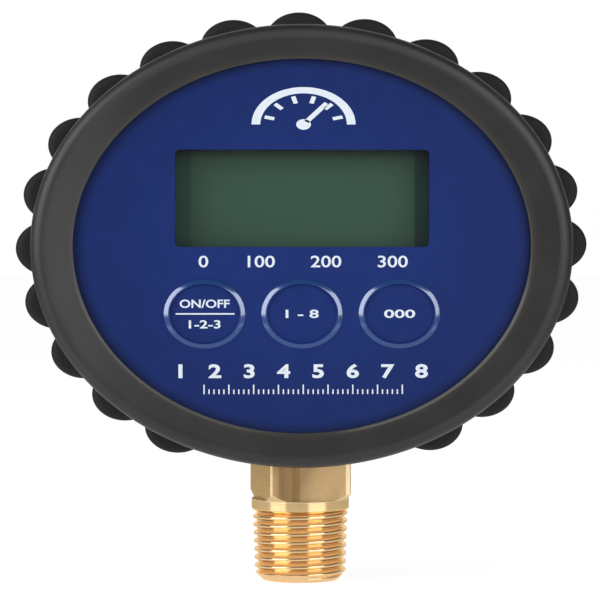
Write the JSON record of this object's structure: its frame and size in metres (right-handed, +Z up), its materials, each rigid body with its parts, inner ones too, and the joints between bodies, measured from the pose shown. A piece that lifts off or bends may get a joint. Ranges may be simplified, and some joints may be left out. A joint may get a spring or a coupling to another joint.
{
  "type": "digital compression gauge",
  "caption": "Oval hand-held pressure gauge with a read-out window, round push keys, a ribbed rubber boot and a brass pipe-thread stem.",
  "frame": {"origin": "centre of the stem's lower end, where the pipe thread starts", "axes": "+Z up the stem's axis towards the body, the face looks along -Y, +X to the right as the face is read"},
  "size_m": [0.0854, 0.034, 0.0861],
  "materials": {
    "boot_rubber": "satin moulded rubber",
    "seal_rubber": "plain",
    "case_plastic": "fine texture",
    "face_print": "satin print under clear film",
    "window": "clear",
    "display": "grey-green liquid crystal, unlit",
    "board": "solder mask",
    "plunger": "plain",
    "brass": "turned, bright",
    "steel": "plated",
    "cell_jacket": "shrink sleeve",
    "ribbon": "film"
  },
  "bodies": {
    "gauge": {"rubber_boot": "boot_rubber", "case_front": "case_plastic", "case_back": "case_plastic", "face_plate": "face_print", "window_lens": "window", "display_glass": "display", "display_frame": "case_plastic", "contact_strip_upper": "seal_rubber", "contact_strip_lower": "seal_rubber", "circuit_board": "board", "controller_chip": "case_plastic", "power_switch": "case_plastic", "cylinder_switch": "case_plastic", "clear_switch": "case_plastic", "stem": "brass", "sensor_seal": "seal_rubber", "pressure_sensor": "steel", "sensor_nut": "brass", "sensor_ribbon": "ribbon", "cell_upper": "cell_jacket", "cell_lower": "cell_jacket", "cell_spring_upper": "steel", "cell_spring_lower": "steel", "bridge_contact": "steel", "positive_contact": "steel", "negative_contact": "steel", "case_screw_1": "steel", "case_screw_2": "steel", "case_screw_3": "steel", "case_screw_4": "steel", "board_screw_1": "steel", "board_screw_2": "steel", "board_screw_3": "steel", "board_screw_4": "steel"},
    "power_button": {"power_key": "face_print", "power_plunger": "plunger"},
    "cylinder_button": {"cylinder_key": "face_print", "cylinder_plunger": "plunger"},
    "clear_button": {"clear_key": "face_print", "clear_plunger": "plunger"},
    "door": {"battery_door": "case_plastic"}
  },
  "joints": [
    {"name": "power_press", "type": "slide", "parent": "gauge", "child": "power_button", "axis": [0, 1, 0], "range_m": [0, 0.0004], "stiffness_N_per_m": 500},
    {"name": "cylinder_press", "type": "slide", "parent": "gauge", "child": "cylinder_button", "axis": [0, 1, 0], "range_m": [0, 0.0004], "stiffness_N_per_m": 500},
    {"name": "clear_press", "type": "slide", "parent": "gauge", "child": "clear_button", "axis": [0, 1, 0], "range_m": [0, 0.0004], "stiffness_N_per_m": 500},
    {"name": "door_lift", "type": "slide", "parent": "gauge", "child": "door", "axis": [0, 1, 0], "range_m": [0, 0.03]}
  ]
}
